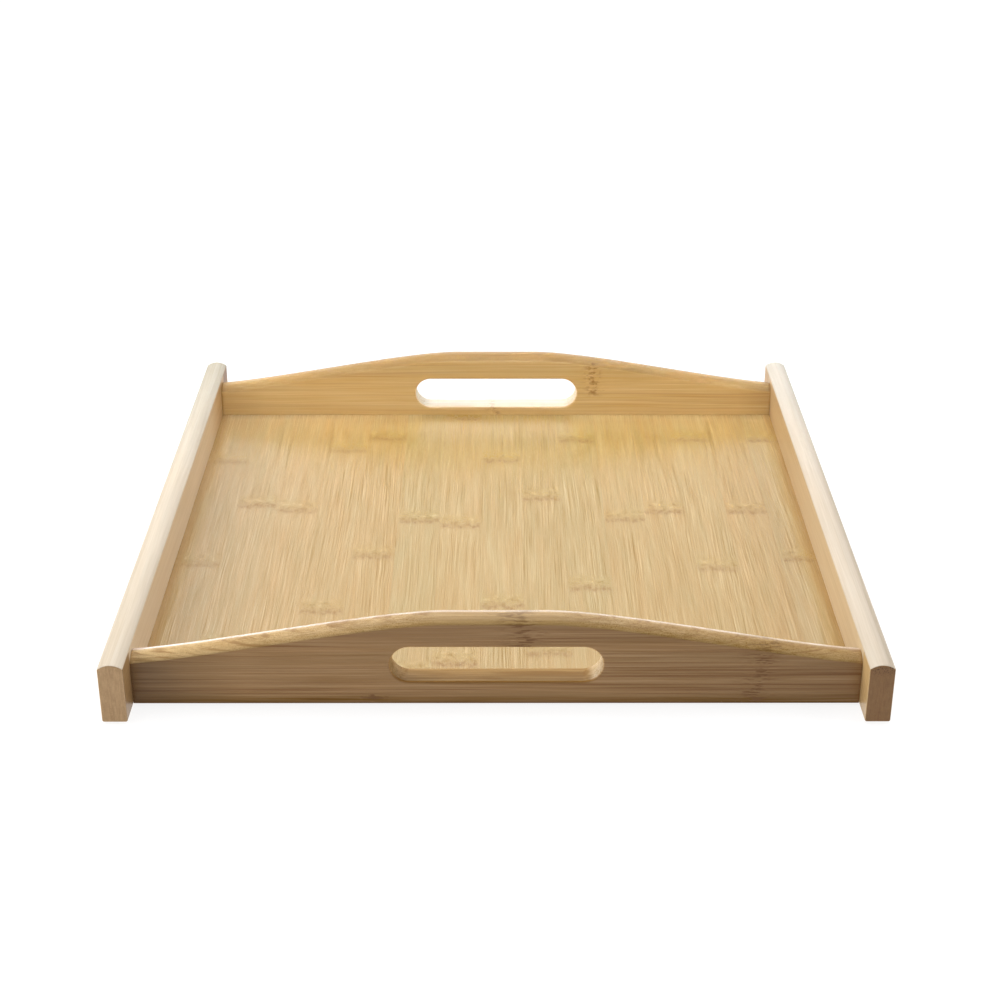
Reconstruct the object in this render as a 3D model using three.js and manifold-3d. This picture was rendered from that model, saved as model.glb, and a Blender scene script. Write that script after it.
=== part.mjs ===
// Bamboo serving tray, in millimetres, +Z up.
// Two straight side rails carry two raised handle boards and a thin panel let into grooves all round.
// The origin is the middle of the tray, at the height of the surface that it stands on.
// The front handle board faces -Y and the right rail lies towards +X.

import * as THREE from 'three';
import * as BufferGeometryUtils from 'three/addons/utils/BufferGeometryUtils.js';
import Module from 'manifold-3d';

const wasm = await Module();
wasm.setup();

// Whole tray
const trayWidth = 400;
const trayLength = 400;

// Side rails
const railThickness = 13;
const railShoulderHeight = 31;
const railDomeRise = 2.35;
const railFootRadius = 1;
const railEndEasing = 0.6;
const railOverhang = 17.1;

// Handle boards
const boardThickness = 14;
const boardEndHeight = 24.3;
const boardCentreHeight = 46.9;
const boardDomeRise = 3.3;
const boardFootRadius = 0.8;

// Top line of a handle board: a level crown, then one S-shaped sweep down to the rail
const crownHalfLength = 25.5;
const crownPullShare = 0.22;
const footPullShare = 0.25;
const footSlopeDegrees = 4.7;

// Hand slot through a handle board
const slotLength = 109;
const slotHeight = 20.2;
const slotCentreHeight = 23.3;
const slotRoundOver = 1.4;
const roundOverWallShare = 0.45;

// Bottom panel
const panelThickness = 5;
const panelUndersideHeight = 2.2;
const panelTongue = 5;
const panelEdgeEasing = 0.4;

// Pegs that join each board's end to a rail
const dowelDiameter = 5;
const dowelLength = 25;
const dowelInRail = 8;
const dowelChamfer = 0.7;
const dowelsPerJoint = 2;

// Clearances
const jointGap = 0.3;
const grooveClearance = 0.3;
const dowelClearance = 0.25;
const cutOverrun = 2;

// Fineness of the curves
const sweepSteps = 22;
const boardDomeSteps = 8;
const railDomeSteps = 12;
const footSteps = 3;
const slotEndSteps = 9;
const roundOverSteps = 4;
const roundSteps = 24;

// Places that follow from the sizes
const railInnerX = trayWidth / 2 - railThickness;
const railCentreX = trayWidth / 2 - railThickness / 2;
const boardLength = 2 * (railInnerX - jointGap);
const boardCentreY = trayLength / 2 - railOverhang - boardThickness / 2;
const boardInnerY = boardCentreY - boardThickness / 2;
const panelMiddleHeight = panelUndersideHeight + panelThickness / 2;
const grooveHeight = panelThickness + 2 * grooveClearance;
const grooveDepth = panelTongue + grooveClearance;
const grooveTop = panelMiddleHeight + grooveHeight / 2;
const slotEndRadius = slotHeight / 2;
const slotFlare = Math.min(slotRoundOver, boardThickness * roundOverWallShare);
const dowelHoleRadius = dowelDiameter / 2 + dowelClearance;

// Colours taken by eye from the pale, clear-coated bamboo
const railMaterial = new THREE.MeshStandardMaterial({
  name: 'rail_bamboo',
  color: 0xe2c9a0,
  roughness: 0.55,
  metalness: 0,
});
const boardMaterial = new THREE.MeshStandardMaterial({
  name: 'board_bamboo',
  color: 0xb58a58,
  roughness: 0.5,
  metalness: 0,
});
const panelMaterial = new THREE.MeshStandardMaterial({
  name: 'panel_bamboo',
  color: 0xdcbb8a,
  roughness: 0.42,
  metalness: 0,
});
const dowelMaterial = new THREE.MeshStandardMaterial({
  name: 'dowel_wood',
  color: 0xd9b98a,
  roughness: 0.7,
  metalness: 0,
});

// Solid body of a closed geometry, with its shared corners merged
function toSolid(geometry) {
  const bare = geometry.clone();
  bare.deleteAttribute('normal');
  bare.deleteAttribute('uv');
  const merged = BufferGeometryUtils.mergeVertices(bare);
  return new wasm.Manifold(new wasm.Mesh({
    numProp: 3,
    vertProperties: new Float32Array(merged.attributes.position.array),
    triVerts: new Uint32Array(merged.index.array),
  }));
}

// Geometry of a solid body
function toGeometry(solid) {
  const mesh = solid.getMesh();
  const geometry = new THREE.BufferGeometry();
  geometry.setAttribute('position', new THREE.BufferAttribute(mesh.vertProperties, 3));
  geometry.setIndex(new THREE.BufferAttribute(mesh.triVerts, 1));
  geometry.computeVertexNormals();
  return geometry;
}

// The body left when each cutter is taken out of it
function cut(body, cutters) {
  let solid = toSolid(body);
  for (const cutter of cutters) {
    solid = solid.subtract(toSolid(cutter));
  }
  return toGeometry(solid);
}

// Closed body through outlines in the XZ plane that stand one behind the other along Y.
// Every outline runs anticlockwise seen from the front and has the same number of points.
function loft(sections) {
  const count = sections[0].outline.length;
  const last = sections.length - 1;
  const positions = [];
  for (const { y, outline } of sections) {
    for (const point of outline) {
      positions.push(point.x, y, point.y);
    }
  }
  const index = [];
  for (let s = 0; s < last; s++) {
    for (let i = 0; i < count; i++) {
      const next = (i + 1) % count;
      const near = s * count + i;
      const nearNext = s * count + next;
      const far = near + count;
      const farNext = nearNext + count;
      index.push(near, far, farNext, near, farNext, nearNext);
    }
  }
  for (const [a, b, c] of THREE.ShapeUtils.triangulateShape(sections[0].outline, [])) {
    index.push(a, b, c);
  }
  for (const [a, b, c] of THREE.ShapeUtils.triangulateShape(sections[last].outline, [])) {
    index.push(last * count + a, last * count + c, last * count + b);
  }
  const geometry = new THREE.BufferGeometry();
  geometry.setAttribute('position', new THREE.Float32BufferAttribute(positions, 3));
  geometry.setIndex(index);
  return geometry;
}

// Height of a shallow arch above its springing line, at a distance from its middle
function archHeight(span, rise, offset) {
  const radius = (span * span / 4 + rise * rise) / (2 * rise);
  return Math.sqrt(radius * radius - offset * offset) - (radius - rise);
}

// Height that a quarter-round edge lifts the underside, at a distance from the face
function quarterRound(radius, depth) {
  const inside = Math.max(radius - depth, 0);
  return radius - Math.sqrt(radius * radius - inside * inside);
}

// Cylinder that lies along X, for the pegs' holes
function lyingHole(length) {
  return new THREE.CylinderGeometry(dowelHoleRadius, dowelHoleRadius, length, roundSteps)
    .rotateZ(Math.PI / 2);
}

// Heights of the pegs, shared out evenly over the wood between the groove and the board's shoulder
function dowelHeights() {
  const pitch = (boardEndHeight - grooveTop) / dowelsPerJoint;
  return Array.from({ length: dowelsPerJoint }, (_, i) => grooveTop + pitch * (i + 1 / 2));
}

// Side rail, standing at X = 0 with its inner face towards +X: a bar with a domed top and eased edges,
// a stopped groove for the panel and blind holes for the pegs
function railGeometry() {
  const half = railThickness / 2;
  const section = new THREE.Shape();
  section.moveTo(-half + railFootRadius, 0);
  section.lineTo(half - railFootRadius, 0);
  section.absarc(half - railFootRadius, railFootRadius, railFootRadius, -Math.PI / 2, 0);
  for (let i = 0; i <= railDomeSteps; i++) {
    const x = half * (1 - 2 * i / railDomeSteps);
    section.lineTo(x, railShoulderHeight + archHeight(railThickness, railDomeRise, x));
  }
  section.absarc(-half + railFootRadius, railFootRadius, railFootRadius, Math.PI, Math.PI * 3 / 2);

  const bar = new THREE.ExtrudeGeometry(section, {
    depth: trayLength - 2 * railEndEasing,
    steps: 1,
    curveSegments: footSteps,
    bevelThickness: railEndEasing,
    bevelSize: railEndEasing,
    bevelOffset: -railEndEasing,
    bevelSegments: 2,
  });
  bar.translate(0, 0, railEndEasing - trayLength / 2);
  bar.rotateX(Math.PI / 2);

  const grooveHalfLength = boardInnerY + grooveDepth;
  const groove = new THREE.BoxGeometry(grooveDepth + cutOverrun, 2 * grooveHalfLength, grooveHeight);
  groove.translate(half - grooveDepth / 2 + cutOverrun / 2, 0, panelMiddleHeight);

  const cutters = [groove];
  const holeDepth = dowelInRail + dowelClearance;
  for (const side of [-1, 1]) {
    for (const height of dowelHeights()) {
      const hole = lyingHole(holeDepth + cutOverrun);
      hole.translate(half - holeDepth / 2 + cutOverrun / 2, side * boardCentreY, height);
      cutters.push(hole);
    }
  }
  return cut(bar, cutters);
}

// Right half of a handle board's top line, from the middle of the crown down to the rail
function topLine() {
  const end = boardLength / 2;
  const run = end - crownHalfLength;
  const footPull = run * footPullShare;
  const footRise = footPull * Math.tan(THREE.MathUtils.degToRad(footSlopeDegrees));
  const sweep = new THREE.CubicBezierCurve(
    new THREE.Vector2(crownHalfLength, boardCentreHeight),
    new THREE.Vector2(crownHalfLength + run * crownPullShare, boardCentreHeight),
    new THREE.Vector2(end - footPull, boardEndHeight + footRise),
    new THREE.Vector2(end, boardEndHeight),
  );
  return sweep.getPoints(sweepSteps);
}

// Elevation of a handle board at one depth in its thickness, measured from the middle.
// The dome raises the whole top line, and the eased foot lifts the underside near the faces.
function boardOutline(depth) {
  const raise = archHeight(boardThickness, boardDomeRise, depth);
  const foot = quarterRound(boardFootRadius, boardThickness / 2 - Math.abs(depth));
  const line = topLine();
  const right = line.map((point) => new THREE.Vector2(point.x, point.y + raise)).reverse();
  const left = line.map((point) => new THREE.Vector2(-point.x, point.y + raise));
  return [
    new THREE.Vector2(-boardLength / 2, foot),
    new THREE.Vector2(boardLength / 2, foot),
    ...right,
    ...left,
  ];
}

// Depths at which a handle board's outline is drawn, close together at the eased foot
function boardDepths() {
  const half = boardThickness / 2;
  const depths = [];
  for (let i = 0; i < footSteps; i++) {
    depths.push(half - boardFootRadius * (1 - Math.cos(Math.PI / 2 * i / footSteps)));
  }
  const inner = half - boardFootRadius;
  for (let i = 0; i <= boardDomeSteps / 2; i++) {
    depths.push(inner * (1 - 2 * i / boardDomeSteps));
  }
  const mirrored = depths.slice(0, -1).map((depth) => -depth);
  return [...mirrored, ...depths.reverse()];
}

// Hand slot as a cutter: a long slot with round ends, flared by the round-over at both faces
function slotCutter() {
  const straightHalf = slotLength / 2 - slotEndRadius;
  const outline = (grow) => {
    const slot = new THREE.Shape();
    const radius = slotEndRadius + grow;
    slot.absarc(straightHalf, slotCentreHeight, radius, -Math.PI / 2, Math.PI / 2);
    slot.absarc(-straightHalf, slotCentreHeight, radius, Math.PI / 2, Math.PI * 3 / 2);
    return slot.extractPoints(slotEndSteps).shape;
  };
  const half = boardThickness / 2;
  const rear = [{ y: half + cutOverrun, outline: outline(slotFlare) }];
  for (let i = 0; i <= roundOverSteps; i++) {
    const turn = Math.PI / 2 * i / roundOverSteps;
    rear.push({
      y: half - slotFlare * (1 - Math.cos(turn)),
      outline: outline(slotFlare * (1 - Math.sin(turn))),
    });
  }
  const front = rear.map(({ y, outline: shape }) => ({ y: -y, outline: shape }));
  return loft([...front, ...rear.reverse()]);
}

// Handle board with its outer face towards -Y
function boardGeometry() {
  const blank = loft(boardDepths().map((depth) => ({ y: depth, outline: boardOutline(depth) })));

  const groove = new THREE.BoxGeometry(boardLength + 2 * cutOverrun, grooveDepth + cutOverrun, grooveHeight);
  groove.translate(0, boardThickness / 2 - grooveDepth / 2 + cutOverrun / 2, panelMiddleHeight);

  const cutters = [slotCutter(), groove];
  const holeDepth = dowelLength - dowelInRail - jointGap + dowelClearance;
  for (const side of [-1, 1]) {
    for (const height of dowelHeights()) {
      const hole = lyingHole(holeDepth + cutOverrun);
      hole.translate(side * (boardLength / 2 - holeDepth / 2 + cutOverrun / 2), 0, height);
      cutters.push(hole);
    }
  }
  return cut(blank, cutters);
}

// Bottom panel: a flat sheet with lightly eased edges that reaches into all four grooves
function panelGeometry() {
  const halfX = railInnerX + panelTongue;
  const halfY = boardInnerY + panelTongue;
  const sheet = new THREE.Shape([
    new THREE.Vector2(-halfX, -halfY),
    new THREE.Vector2(halfX, -halfY),
    new THREE.Vector2(halfX, halfY),
    new THREE.Vector2(-halfX, halfY),
  ]);
  const geometry = new THREE.ExtrudeGeometry(sheet, {
    depth: panelThickness - 2 * panelEdgeEasing,
    steps: 1,
    bevelThickness: panelEdgeEasing,
    bevelSize: panelEdgeEasing,
    bevelOffset: -panelEdgeEasing,
    bevelSegments: 1,
  });
  geometry.translate(0, 0, panelEdgeEasing - panelThickness / 2);
  return geometry;
}

// Peg that lies along X, turned with a chamfer at each end
function dowelGeometry() {
  const radius = dowelDiameter / 2;
  const half = dowelLength / 2;
  const profile = [
    new THREE.Vector2(0, -half),
    new THREE.Vector2(radius - dowelChamfer, -half),
    new THREE.Vector2(radius, -half + dowelChamfer),
    new THREE.Vector2(radius, half - dowelChamfer),
    new THREE.Vector2(radius - dowelChamfer, half),
    new THREE.Vector2(0, half),
  ];
  return new THREE.LatheGeometry(profile, roundSteps).rotateZ(Math.PI / 2);
}

function namedMesh(name, geometry, material) {
  const mesh = new THREE.Mesh(geometry, material);
  mesh.name = name;
  return mesh;
}

const tray = new THREE.Group();

// Bottom panel
const panel = namedMesh('bottom_panel', panelGeometry(), panelMaterial);
panel.position.z = panelMiddleHeight;
tray.add(panel);

// Side rails, grooves inwards
const leftRail = namedMesh('left_rail', railGeometry(), railMaterial);
leftRail.position.x = -railCentreX;
tray.add(leftRail);

const rightRail = namedMesh('right_rail', railGeometry(), railMaterial);
rightRail.position.x = railCentreX;
rightRail.rotation.z = Math.PI;
tray.add(rightRail);

// Handle boards, grooves inwards
const frontBoard = namedMesh('front_handle_board', boardGeometry(), boardMaterial);
frontBoard.position.y = -boardCentreY;
tray.add(frontBoard);

const rearBoard = namedMesh('rear_handle_board', boardGeometry(), boardMaterial);
rearBoard.position.y = boardCentreY;
rearBoard.rotation.z = Math.PI;
tray.add(rearBoard);

// Pegs, one group at each corner joint, numbered from the lowest
const dowelCentreX = railInnerX + dowelInRail - dowelLength / 2;
for (const [rowName, ySide] of [['front', -1], ['rear', 1]]) {
  for (const [sideName, xSide] of [['left', -1], ['right', 1]]) {
    const joint = new THREE.Group();
    joint.position.set(xSide * dowelCentreX, ySide * boardCentreY, 0);
    dowelHeights().forEach((height, i) => {
      const name = `${rowName}_${sideName}_dowel_${i + 1}`;
      const dowel = namedMesh(name, dowelGeometry(), dowelMaterial);
      dowel.position.z = height;
      joint.add(dowel);
    });
    tray.add(joint);
  }
}

export default tray;
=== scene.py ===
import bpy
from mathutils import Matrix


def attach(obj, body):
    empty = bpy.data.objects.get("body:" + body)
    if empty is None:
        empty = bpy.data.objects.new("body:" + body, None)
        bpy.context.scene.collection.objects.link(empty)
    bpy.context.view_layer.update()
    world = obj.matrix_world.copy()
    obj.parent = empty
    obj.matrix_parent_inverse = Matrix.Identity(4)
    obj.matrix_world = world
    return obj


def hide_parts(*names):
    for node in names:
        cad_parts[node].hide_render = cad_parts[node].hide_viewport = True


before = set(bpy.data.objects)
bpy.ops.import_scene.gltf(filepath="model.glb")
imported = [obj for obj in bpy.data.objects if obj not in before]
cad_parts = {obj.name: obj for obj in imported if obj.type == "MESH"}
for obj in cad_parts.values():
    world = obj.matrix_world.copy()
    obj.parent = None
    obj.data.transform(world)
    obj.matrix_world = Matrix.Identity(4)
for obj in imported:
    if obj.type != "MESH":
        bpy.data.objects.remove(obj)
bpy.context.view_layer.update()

import math

import bpy
from mathutils import Matrix, Vector
from mathutils.geometry import tessellate_polygon

MM = 0.001

# Sizes of the tray in millimetres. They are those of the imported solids, apart from JOINT_GAP and
# GROOVE_GAP, which are narrower here because a glued tray shows no gap between its pieces
TRAY_WIDTH = 400
TRAY_LENGTH = 400
RAIL_THICKNESS = 13
RAIL_SHOULDER = 31
RAIL_DOME = 2.35
RAIL_FOOT = 1
RAIL_END = 0.6
RAIL_OVERHANG = 17.1
BOARD_THICKNESS = 14
BOARD_END = 24.3
BOARD_CENTRE = 46.9
BOARD_DOME = 3.3
BOARD_FOOT = 0.8
CROWN_HALF = 25.5
CROWN_PULL = 0.22
FOOT_PULL = 0.25
FOOT_SLOPE = 4.7
SLOT_LENGTH = 109
SLOT_HEIGHT = 20.2
SLOT_CENTRE = 23.3
SLOT_ROUND = 1.4
PANEL_LOW = 2.2
PANEL_THICKNESS = 5
PANEL_TONGUE = 5
PEG_RADIUS = 2.5
PEG_LENGTH = 25
PEG_IN_RAIL = 8
PEGS_PER_JOINT = 2
PEG_GAP = 0.25
JOINT_GAP = 0.1
GROOVE_GAP = 0.05

# The eased edge between a rail's side and its dome: its size, and as shares of it how much lower
# than the shoulder it lies, its points (how far in and how far up) and where the dome takes over
RAIL_EASE = 0.45
RAIL_EASE_DROP = 0.6
RAIL_EASE_POINTS = ((0, -0.5), (0.12, 0.35))
RAIL_EASE_REACH = 0.5
# How far a rail's shoulder sinks and its dome flattens at the eased ends, as shares of the inset
SHOULDER_FALL = 0.75
DOME_FALL = 0.25
# The eased edge between a board's face and its dome: its size, and its drop as a share of it
BOARD_EASE = 0.5
BOARD_EASE_DROP = 0.45

# Fineness of the curves, as numbers of steps
RAIL_DOME_STEPS = 22
RAIL_FOOT_STEPS = 5
RAIL_END_STEPS = 4
CROWN_STEPS = 6
SWEEP_STEPS = 72
BOARD_FOOT_SHARES = (0, 0.05, 0.16, 0.32, 0.52, 0.76, 1)
BOARD_DOME_STEPS = 8
SLOT_END_STEPS = 26
ROUND_OVER_STEPS = 9
PEG_HOLE_STEPS = 32

# Edges sharper than this many degrees stay sharp when a piece is shaded smoothly
RAIL_SHARP = 32
BOARD_SHARP = 40
# Strongest weight of large faces in the normals of their corners
FLAT_FACE_WEIGHT = 100
# How far the cutters reach past the wood, and the area below which a triangle is left out
OVERRUN = 2
SLIVER_AREA = 1e-9

RAIL_INNER = TRAY_WIDTH / 2 - RAIL_THICKNESS
RAIL_CENTRE = TRAY_WIDTH / 2 - RAIL_THICKNESS / 2
BOARD_HALF = RAIL_INNER - JOINT_GAP
BOARD_Y = TRAY_LENGTH / 2 - RAIL_OVERHANG - BOARD_THICKNESS / 2
BOARD_INNER_Y = BOARD_Y - BOARD_THICKNESS / 2
BOARD_OUTER_Y = BOARD_Y + BOARD_THICKNESS / 2
GROOVE_LOW = PANEL_LOW - GROOVE_GAP
GROOVE_HIGH = PANEL_LOW + PANEL_THICKNESS + GROOVE_GAP
GROOVE_DEEP = PANEL_TONGUE + GROOVE_GAP
PEG_PITCH = (BOARD_END - GROOVE_HIGH) / PEGS_PER_JOINT
PEG_HEIGHTS = [GROOVE_HIGH + PEG_PITCH * (i + 0.5) for i in range(PEGS_PER_JOINT)]


# Mesh tools

def arch(span, rise, offset):
    """Height of an arc of a given span and rise, at an offset from its middle."""
    radius = (span * span / 4 + rise * rise) / (2 * rise)
    return math.sqrt(radius * radius - offset * offset) - (radius - rise)


def arc_points(cx, cz, radius, start, end, steps):
    turns = [math.radians(start + (end - start) * i / steps) for i in range(steps + 1)]
    return [(cx + radius * math.cos(t), cz + radius * math.sin(t)) for t in turns]


def make_object(name, vertices, faces):
    mesh = bpy.data.meshes.new(name)
    mesh.from_pydata([[c * MM for c in v] for v in vertices], [], faces)
    mesh.validate()
    made = bpy.data.objects.new(name, mesh)
    bpy.context.scene.collection.objects.link(made)
    return made


def walls(rings, count, first=0, inward=False):
    """Quads between rings of count points each, the points being numbered from first on."""
    faces = []
    for s in range(rings - 1):
        near = first + s * count
        far = near + count
        for i in range(count):
            j = (i + 1) % count
            if inward:
                faces.append((near + i, near + j, far + j, far + i))
            else:
                faces.append((near + i, far + i, far + j, near + j))
    return faces


def loft(name, sections):
    """Closed body through rings of (x, y, z) points of one length, with flat ends."""
    count = len(sections[0])
    last = (len(sections) - 1) * count
    faces = walls(len(sections), count)
    faces.append(tuple(range(count)))
    faces.append(tuple(last + i for i in reversed(range(count))))
    return make_object(name, [p for ring in sections for p in ring], faces)


def box_object(name, low, high):
    (x0, y0, z0), (x1, y1, z1) = low, high
    ring = [(x0, z0), (x1, z0), (x1, z1), (x0, z1)]
    return loft(name, [[(x, y, z) for x, z in ring] for y in (y0, y1)])


def peg_hole(name, x0, x1, y, z):
    turns = [math.tau * i / PEG_HOLE_STEPS for i in range(PEG_HOLE_STEPS)]
    radius = PEG_RADIUS + PEG_GAP
    ring = [(y + radius * math.cos(t), z + radius * math.sin(t)) for t in turns]
    return loft(name, [[(x, a, b) for a, b in reversed(ring)] for x in sorted((x0, x1))])


def cut(body, cutters):
    """Takes the cutters out of the body and leaves the result as its mesh."""
    for cutter in cutters:
        step = body.modifiers.new("cut", "BOOLEAN")
        step.operation = "DIFFERENCE"
        step.solver = "EXACT"
        step.object = cutter
    bpy.context.view_layer.update()
    ready = body.evaluated_get(bpy.context.evaluated_depsgraph_get())
    mesh = bpy.data.meshes.new_from_object(ready)
    body.modifiers.clear()
    old = body.data
    body.data = mesh
    bpy.data.meshes.remove(old)
    mesh.name = body.name
    for cutter in cutters:
        data = cutter.data
        bpy.data.objects.remove(cutter)
        bpy.data.meshes.remove(data)


def shade_smooth(body, sharp):
    """Smooth shading with sharp arrises, and normals that keep the flat faces flat."""
    mesh = body.data
    mesh.polygons.foreach_set("use_smooth", [True] * len(mesh.polygons))
    mesh.set_sharp_from_angle(angle=math.radians(sharp))
    weighted = body.modifiers.new("flat faces", "WEIGHTED_NORMAL")
    weighted.mode = "FACE_AREA"
    weighted.weight = FLAT_FACE_WEIGHT
    weighted.keep_sharp = True


# Side rails

def rail_section(inset):
    """Outline of a rail across its length, drawn in by an inset: a foot, the dome, a foot."""
    half = RAIL_THICKNESS / 2 - inset
    top = RAIL_SHOULDER - inset * SHOULDER_FALL
    shoulder = top - RAIL_EASE * RAIL_EASE_DROP
    dome = RAIL_DOME - inset * DOME_FALL
    reach = half - RAIL_EASE * RAIL_EASE_REACH
    places = [reach * (1 - 2 * i / RAIL_DOME_STEPS) for i in range(RAIL_DOME_STEPS + 1)]
    eased = [(half - RAIL_EASE * share_in, shoulder + RAIL_EASE * share_up)
             for share_in, share_up in RAIL_EASE_POINTS]
    foot_x, foot_z = half - RAIL_FOOT, inset + RAIL_FOOT
    points = arc_points(foot_x, foot_z, RAIL_FOOT, -90, 0, RAIL_FOOT_STEPS)
    points += eased
    points += [(x, top + arch(2 * half, dome, x)) for x in places]
    points += [(-x, z) for x, z in reversed(eased)]
    points += arc_points(-foot_x, foot_z, RAIL_FOOT, 180, 270, RAIL_FOOT_STEPS)
    return points


def make_rail(name, side):
    """side is -1 for the left rail and 1 for the right one."""
    turns = [math.radians(90 * i / RAIL_END_STEPS) for i in range(RAIL_END_STEPS + 1)]
    ends = [(RAIL_END * (1 - math.sin(t)), RAIL_END * (1 - math.cos(t))) for t in turns]
    half = TRAY_LENGTH / 2
    stations = [(-half + along, inset) for inset, along in ends]
    stations += [(half - along, inset) for inset, along in reversed(ends)]
    centre = side * RAIL_CENTRE
    rail = loft(name, [[(centre + x, y, z) for x, z in rail_section(inset)]
                       for y, inset in stations])
    inner = side * RAIL_INNER
    start = inner - side * OVERRUN
    reach = BOARD_INNER_Y + GROOVE_DEEP
    x0, x1 = sorted((start, inner + side * GROOVE_DEEP))
    cutters = [box_object("groove", (x0, -reach, GROOVE_LOW), (x1, reach, GROOVE_HIGH))]
    bottom = inner + side * (PEG_IN_RAIL + PEG_GAP)
    for y in (-BOARD_Y, BOARD_Y):
        for z in PEG_HEIGHTS:
            cutters.append(peg_hole("hole", start, bottom, y, z))
    cut(rail, cutters)
    shade_smooth(rail, RAIL_SHARP)
    return rail


# Handle boards

def top_line():
    """Right half of the top line, from the middle of the crown to the rail."""
    run = BOARD_HALF - CROWN_HALF
    pull = run * FOOT_PULL
    rise = pull * math.tan(math.radians(FOOT_SLOPE))
    a = Vector((CROWN_HALF, BOARD_CENTRE))
    b = Vector((CROWN_HALF + run * CROWN_PULL, BOARD_CENTRE))
    c = Vector((BOARD_HALF - pull, BOARD_END + rise))
    d = Vector((BOARD_HALF, BOARD_END))
    line = [Vector((CROWN_HALF * i / CROWN_STEPS, BOARD_CENTRE)) for i in range(CROWN_STEPS)]
    for i in range(SWEEP_STEPS + 1):
        t = i / SWEEP_STEPS
        u = 1 - t
        line.append(a * u ** 3 + b * (3 * u * u * t) + c * (3 * u * t * t) + d * t ** 3)
    return line


def board_ring(depth):
    """Outline seen from the front at one depth in the thickness, with dome, eased edge and foot."""
    half = BOARD_THICKNESS / 2
    edge = half - abs(depth)
    raise_by = arch(BOARD_THICKNESS, BOARD_DOME, depth)
    if edge < BOARD_EASE:
        raise_by -= BOARD_EASE_DROP * BOARD_EASE * (1 - edge / BOARD_EASE) ** 2
    inside = max(BOARD_FOOT - edge, 0)
    foot = BOARD_FOOT - math.sqrt(BOARD_FOOT ** 2 - inside ** 2)
    line = top_line()
    right = [(p.x, p.y + raise_by) for p in reversed(line)]
    left = [(-p.x, p.y + raise_by) for p in line[1:]]
    low = [(-BOARD_HALF, foot), (BOARD_HALF, foot)]
    return low + right + left


def board_depths():
    """Depths of a board's rings, from the front to the back of its thickness."""
    half = BOARD_THICKNESS / 2
    inner = half - BOARD_FOOT
    side = [half - BOARD_FOOT * share for share in BOARD_FOOT_SHARES]
    side += [inner * (1 - i / BOARD_DOME_STEPS) for i in range(1, BOARD_DOME_STEPS + 1)]
    return [-d for d in side[:-1]] + side[::-1]


def slot_ring(grow):
    straight = SLOT_LENGTH / 2 - SLOT_HEIGHT / 2
    radius = SLOT_HEIGHT / 2 + grow
    right = arc_points(straight, SLOT_CENTRE, radius, -90, 90, SLOT_END_STEPS)
    left = arc_points(-straight, SLOT_CENTRE, radius, 90, 270, SLOT_END_STEPS)
    return right + left


def slot_depths():
    """Depths of a slot's rings, each with how much wider the round-over makes it there."""
    half = BOARD_THICKNESS / 2
    flare = []
    for i in range(ROUND_OVER_STEPS + 1):
        turn = math.pi / 2 * i / ROUND_OVER_STEPS
        flare.append((half - SLOT_ROUND * (1 - math.cos(turn)), SLOT_ROUND * (1 - math.sin(turn))))
    return [(-d, grow) for d, grow in flare] + flare[::-1]


def pierced_face(vertices, outer, inner, flip):
    """Triangles of a flat face between its outline and its slot, both given as point numbers."""
    loops = [[Vector((vertices[i][0], vertices[i][2], 0)) for i in loop] for loop in (outer, inner)]
    order = outer + inner
    faces = []
    for a, b, c in tessellate_polygon(loops):
        p, q, r = (vertices[order[i]] for i in (a, b, c))
        area = (q[0] - p[0]) * (r[2] - p[2]) - (r[0] - p[0]) * (q[2] - p[2])
        if abs(area) < SLIVER_AREA:
            continue
        if (area > 0) == flip:
            a, b = b, a
        faces.append((order[a], order[b], order[c]))
    return faces


def make_board(name, side):
    """side is -1 for the front board, whose outer face looks along -Y, and 1 for the rear one."""
    centre = side * BOARD_Y
    rings = [[(x, centre + depth, z) for x, z in board_ring(depth)] for depth in board_depths()]
    slots = [[(x, centre + depth, z) for x, z in slot_ring(grow)] for depth, grow in slot_depths()]
    vertices = [p for ring in rings + slots for p in ring]
    count, slot_count = len(rings[0]), len(slots[0])
    first_slot = len(rings) * count
    faces = walls(len(rings), count)
    faces += walls(len(slots), slot_count, first_slot, inward=True)
    for ring, slot, flip in ((0, 0, False), (len(rings) - 1, len(slots) - 1, True)):
        outer = range(ring * count, (ring + 1) * count)
        inner = range(first_slot + slot * slot_count, first_slot + (slot + 1) * slot_count)
        faces += pierced_face(vertices, list(outer), list(inner), flip)
    board = make_object(name, vertices, faces)

    inner = centre - side * BOARD_THICKNESS / 2
    y0, y1 = sorted((inner - side * OVERRUN, inner + side * GROOVE_DEEP))
    reach = BOARD_HALF + OVERRUN
    cutters = [box_object("groove", (-reach, y0, GROOVE_LOW), (reach, y1, GROOVE_HIGH))]
    bottom = RAIL_INNER - (PEG_LENGTH - PEG_IN_RAIL + PEG_GAP)
    for end in (-1, 1):
        for z in PEG_HEIGHTS:
            cutters.append(peg_hole("hole", end * reach, end * bottom, centre, z))
    cut(board, cutters)
    shade_smooth(board, BOARD_SHARP)
    return board


# Material tools

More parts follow.
